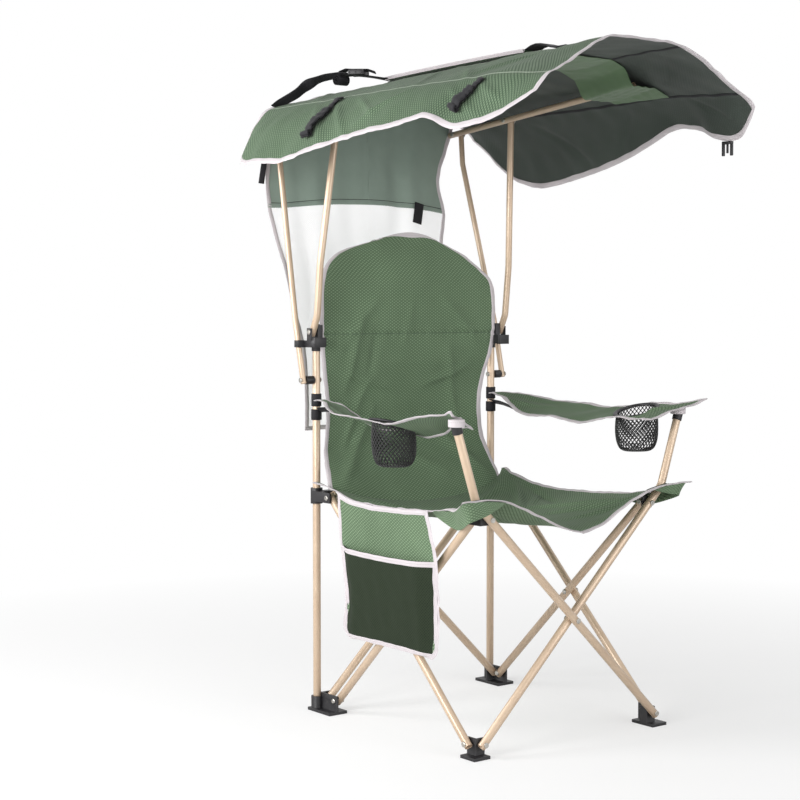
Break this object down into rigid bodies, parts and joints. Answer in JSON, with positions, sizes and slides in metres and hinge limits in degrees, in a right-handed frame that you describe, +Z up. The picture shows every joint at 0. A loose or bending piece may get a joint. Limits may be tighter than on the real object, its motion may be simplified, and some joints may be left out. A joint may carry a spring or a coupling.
{
  "type": "folding canopy camp chair",
  "caption": "Folding steel-tube camp chair with a slung cloth seat and back, cloth arms with net cup holders, a hanging side pocket and a sun canopy that swings down behind.",
  "frame": {"origin": "on the floor, under the middle of the whole chair with its canopy open", "axes": "+Z up, -Y the way the sitter faces, +X towards the sitter's left"},
  "size_m": [0.7498, 0.85, 1.3162],
  "materials": {
    "arm_post_cap_left": "moulded black plastic, fine grain",
    "arm_post_cap_right": "moulded black plastic, fine grain",
    "armrest_left": "green polyester with an embossed diamond weave",
    "armrest_right": "green polyester with an embossed diamond weave",
    "back_panel": "green polyester with an embossed diamond weave",
    "back_post_left": "champagne painted steel tube, low gloss",
    "back_post_right": "champagne painted steel tube, low gloss",
    "canopy_bracket_left": "moulded black plastic, fine grain",
    "canopy_bracket_right": "moulded black plastic, fine grain",
    "canopy_cover": "green polyester with an embossed diamond weave",
    "canopy_pocket": "green polyester with an embossed diamond weave",
    "canopy_post_left": "champagne painted steel tube, low gloss",
    "canopy_post_right": "champagne painted steel tube, low gloss",
    "canopy_rail_left": "champagne painted steel tube, low gloss",
    "canopy_rail_right": "champagne painted steel tube, low gloss",
    "cup_net_left": "black open net",
    "cup_net_right": "black open net",
    "cup_ring_left": "moulded black plastic, fine grain",
    "cup_ring_right": "moulded black plastic, fine grain",
    "flap_buckle_left": "black webbing",
    "flap_strap_front": "black webbing",
    "flap_strap_rear": "black webbing",
    "front_foot_left": "moulded black plastic, fine grain",
    "front_foot_right": "moulded black plastic, fine grain",
    "front_hub_left": "moulded black plastic, fine grain",
    "front_hub_right": "moulded black plastic, fine grain",
    "front_tube_rising_left": "champagne painted steel tube, low gloss",
    "front_tube_rising_right": "champagne painted steel tube, low gloss",
    "mesh_pocket": "dark green lining cloth and mesh",
    "post_slider_left": "moulded black plastic, fine grain",
    "post_slider_right": "moulded black plastic, fine grain",
    "rear_flap": "dark green lining cloth and mesh",
    "rear_foot_left": "moulded black plastic, fine grain",
    "rear_foot_right": "moulded black plastic, fine grain",
    "rear_mesh": "white open mesh",
    "rear_strut_left": "champagne painted steel tube, low gloss",
    "rear_strut_right": "champagne painted steel tube, low gloss",
    "rear_tube_rising_left": "champagne painted steel tube, low gloss",
    "rear_tube_rising_right": "champagne painted steel tube, low gloss",
    "rivet_front_cross": "domed steel rivet",
    "rivet_rail_front_left": "domed steel rivet",
    "rivet_rail_front_right": "domed steel rivet",
    "rivet_rail_rear_left": "domed steel rivet",
    "rivet_rail_rear_right": "domed steel rivet",
    "rivet_rear_cross": "domed steel rivet",
    "rivet_side_cross_left": "domed steel rivet",
    "rivet_side_cross_right": "domed steel rivet",
    "seat_panel": "green polyester with an embossed diamond weave",
    "shoulder_strap_left": "black webbing",
    "shoulder_strap_right": "black webbing",
    "side_panel": "green polyester with an embossed diamond weave",
    "side_tube_inner_left": "champagne painted steel tube, low gloss",
    "side_tube_inner_right": "champagne painted steel tube, low gloss",
    "side_tube_outer_left": "champagne painted steel tube, low gloss",
    "side_tube_outer_right": "champagne painted steel tube, low gloss",
    "strut_spacer_left": "moulded black plastic, fine grain",
    "strut_spacer_right": "moulded black plastic, fine grain"
  },
  "bodies": {
    "right_back": {"rear_foot_right": "rear_foot_right", "back_post_right": "back_post_right", "canopy_bracket_right": "canopy_bracket_right", "strut_spacer_right": "strut_spacer_right", "seat_panel": "seat_panel", "back_panel": "back_panel", "armrest_right": "armrest_right", "cup_ring_right": "cup_ring_right", "cup_net_right": "cup_net_right", "side_panel": "side_panel", "mesh_pocket": "mesh_pocket", "rear_flap": "rear_flap", "rear_mesh": "rear_mesh"},
    "right_inner": {"side_tube_inner_right": "side_tube_inner_right", "rivet_side_cross_right": "rivet_side_cross_right"},
    "right_outer": {"side_tube_outer_right": "side_tube_outer_right"},
    "right_slider": {"post_slider_right": "post_slider_right"},
    "right_front_foot": {"front_foot_right": "front_foot_right"},
    "right_hub": {"front_hub_right": "front_hub_right"},
    "rear_cross_a": {"rear_tube_rising_left": "rear_tube_rising_left", "rivet_rear_cross": "rivet_rear_cross"},
    "rear_cross_b": {"rear_tube_rising_right": "rear_tube_rising_right"},
    "left_back": {"rear_foot_left": "rear_foot_left", "back_post_left": "back_post_left", "canopy_bracket_left": "canopy_bracket_left", "strut_spacer_left": "strut_spacer_left", "armrest_left": "armrest_left", "cup_ring_left": "cup_ring_left", "cup_net_left": "cup_net_left"},
    "left_inner": {"side_tube_inner_left": "side_tube_inner_left", "rivet_side_cross_left": "rivet_side_cross_left"},
    "left_outer": {"side_tube_outer_left": "side_tube_outer_left"},
    "left_slider": {"post_slider_left": "post_slider_left"},
    "left_front_foot": {"front_foot_left": "front_foot_left"},
    "left_hub": {"front_hub_left": "front_hub_left"},
    "front_cross_a": {"front_tube_rising_left": "front_tube_rising_left", "arm_post_cap_left": "arm_post_cap_left", "rivet_front_cross": "rivet_front_cross"},
    "front_cross_b": {"front_tube_rising_right": "front_tube_rising_right", "arm_post_cap_right": "arm_post_cap_right"},
    "right_canopy_post": {"canopy_post_right": "canopy_post_right"},
    "right_strut": {"rear_strut_right": "rear_strut_right"},
    "canopy": {"canopy_rail_right": "canopy_rail_right", "rivet_rail_front_right": "rivet_rail_front_right", "rivet_rail_rear_right": "rivet_rail_rear_right", "canopy_cover": "canopy_cover", "canopy_pocket": "canopy_pocket", "shoulder_strap_right": "shoulder_strap_right", "shoulder_strap_left": "shoulder_strap_left", "flap_strap_rear": "flap_strap_rear", "flap_strap_front": "flap_strap_front"},
    "left_canopy_post": {"canopy_post_left": "canopy_post_left"},
    "left_strut": {"rear_strut_left": "rear_strut_left"},
    "left_rail": {"canopy_rail_left": "canopy_rail_left", "rivet_rail_front_left": "rivet_rail_front_left", "rivet_rail_rear_left": "rivet_rail_rear_left", "flap_buckle_left": "flap_buckle_left"}
  },
  "joints": [
    {"name": "fold", "type": "hinge", "parent": "right_back", "child": "right_inner", "pos_m": [-0.218, 0.229, 0.027], "axis": [-1, 0, 0], "range_deg": [0, 36], "deforming": ["seat_panel", "back_panel", "armrest_right", "armrest_left", "side_panel", "mesh_pocket", "canopy_cover", "canopy_pocket", "rear_flap", "rear_mesh", "cup_net_right", "cup_net_left", "cup_ring_right", "cup_ring_left"]},
    {"name": "side_cross_right", "type": "hinge", "parent": "right_inner", "child": "right_outer", "pos_m": [-0.218, 0.014, 0.23622], "axis": [-1, 0, 0], "range_deg": [-72, 0]},
    {"name": "slider_turn_right", "type": "hinge", "parent": "right_outer", "child": "right_slider", "pos_m": [-0.235, 0.229, 0.44545], "axis": [-1, 0, 0], "range_deg": [0, 36]},
    {"name": "front_foot_turn_right", "type": "hinge", "parent": "right_outer", "child": "right_front_foot", "pos_m": [-0.235, -0.201, 0.027], "axis": [-1, 0, 0], "range_deg": [0, 36]},
    {"name": "hub_turn_right", "type": "hinge", "parent": "right_inner", "child": "right_hub", "pos_m": [-0.218, -0.201, 0.44545], "axis": [-1, 0, 0], "range_deg": [-36, 0]},
    {"name": "rear_fold", "type": "hinge", "parent": "right_back", "child": "rear_cross_a", "pos_m": [-0.215, 0.2652, 0.027], "axis": [0, -1, 0], "range_deg": [0, 36]},
    {"name": "rear_cross", "type": "hinge", "parent": "rear_cross_a", "child": "rear_cross_b", "pos_m": [0, 0.2652, 0.23622], "axis": [0, -1, 0], "range_deg": [-72, 0]},
    {"name": "left_side_turn", "type": "hinge", "parent": "rear_cross_b", "child": "left_back", "pos_m": [0.215, 0.2482, 0.027], "axis": [0, -1, 0], "range_deg": [0, 36]},
    {"name": "side_fold_left", "type": "hinge", "parent": "left_back", "child": "left_inner", "pos_m": [0.218, 0.229, 0.027], "axis": [-1, 0, 0], "range_deg": [0, 36]},
    {"name": "side_cross_left", "type": "hinge", "parent": "left_inner", "child": "left_outer", "pos_m": [0.218, 0.014, 0.23622], "axis": [-1, 0, 0], "range_deg": [-72, 0]},
    {"name": "slider_turn_left", "type": "hinge", "parent": "left_outer", "child": "left_slider", "pos_m": [0.235, 0.229, 0.44545], "axis": [-1, 0, 0], "range_deg": [0, 36]},
    {"name": "front_foot_turn_left", "type": "hinge", "parent": "left_outer", "child": "left_front_foot", "pos_m": [0.235, -0.201, 0.027], "axis": [-1, 0, 0], "range_deg": [0, 36]},
    {"name": "hub_turn_left", "type": "hinge", "parent": "left_inner", "child": "left_hub", "pos_m": [0.218, -0.201, 0.44545], "axis": [-1, 0, 0], "range_deg": [-36, 0]},
    {"name": "front_fold", "type": "hinge", "parent": "right_front_foot", "child": "front_cross_a", "pos_m": [-0.215, -0.2237, 0.027], "axis": [0, -1, 0], "range_deg": [0, 36]},
    {"name": "front_cross", "type": "hinge", "parent": "front_cross_a", "child": "front_cross_b", "pos_m": [0, -0.2237, 0.23622], "axis": [0, -1, 0], "range_deg": [-72, 0]},
    {"name": "canopy_fold", "type": "hinge", "parent": "right_back", "child": "right_canopy_post", "pos_m": [-0.2519, 0.27, 0.78105], "axis": [-1, 0, 0], "range_deg": [0, 170], "deforming": ["canopy_cover", "canopy_pocket", "rear_flap", "rear_mesh"]},
    {"name": "strut_fold_right", "type": "hinge", "parent": "right_back", "child": "right_strut", "pos_m": [-0.2676, 0.282, 0.68305], "axis": [-1, 0, 0], "range_deg": [0, 151.19]},
    {"name": "rail_turn_right", "type": "hinge", "parent": "right_canopy_post", "child": "canopy", "pos_m": [-0.2135, 0.21, 1.23205], "axis": [-1, 0, 0], "range_deg": [-92.37, 0]},
    {"name": "canopy_fold_left", "type": "hinge", "parent": "left_back", "child": "left_canopy_post", "pos_m": [0.2519, 0.27, 0.78105], "axis": [-1, 0, 0], "range_deg": [0, 170]},
    {"name": "strut_fold_left", "type": "hinge", "parent": "left_back", "child": "left_strut", "pos_m": [0.2676, 0.282, 0.68305], "axis": [-1, 0, 0], "range_deg": [0, 151.19]},
    {"name": "rail_turn_left", "type": "hinge", "parent": "left_canopy_post", "child": "left_rail", "pos_m": [0.2135, 0.21, 1.23205], "axis": [-1, 0, 0], "range_deg": [-92.37, 0]}
  ],
  "couplings": [
    {"joint": "side_cross_right", "follows": "fold", "ratio": -2},
    {"joint": "slider_turn_right", "follows": "fold", "ratio": 1},
    {"joint": "front_foot_turn_right", "follows": "fold", "ratio": 1},
    {"joint": "hub_turn_right", "follows": "fold", "ratio": -1},
    {"joint": "rear_fold", "follows": "fold", "ratio": 1},
    {"joint": "rear_cross", "follows": "fold", "ratio": -2},
    {"joint": "left_side_turn", "follows": "fold", "ratio": 1},
    {"joint": "side_fold_left", "follows": "fold", "ratio": 1},
    {"joint": "side_cross_left", "follows": "fold", "ratio": -2},
    {"joint": "slider_turn_left", "follows": "fold", "ratio": 1},
    {"joint": "front_foot_turn_left", "follows": "fold", "ratio": 1},
    {"joint": "hub_turn_left", "follows": "fold", "ratio": -1},
    {"joint": "front_fold", "follows": "fold", "ratio": 1},
    {"joint": "front_cross", "follows": "fold", "ratio": -2},
    {"joint": "strut_fold_right", "follows": "canopy_fold", "ratio": 0.88933},
    {"joint": "rail_turn_right", "follows": "canopy_fold", "ratio": -0.54334},
    {"joint": "canopy_fold_left", "follows": "canopy_fold", "ratio": 1},
    {"joint": "strut_fold_left", "follows": "canopy_fold", "ratio": 0.88933},
    {"joint": "rail_turn_left", "follows": "canopy_fold", "ratio": -0.54334}
  ]
}
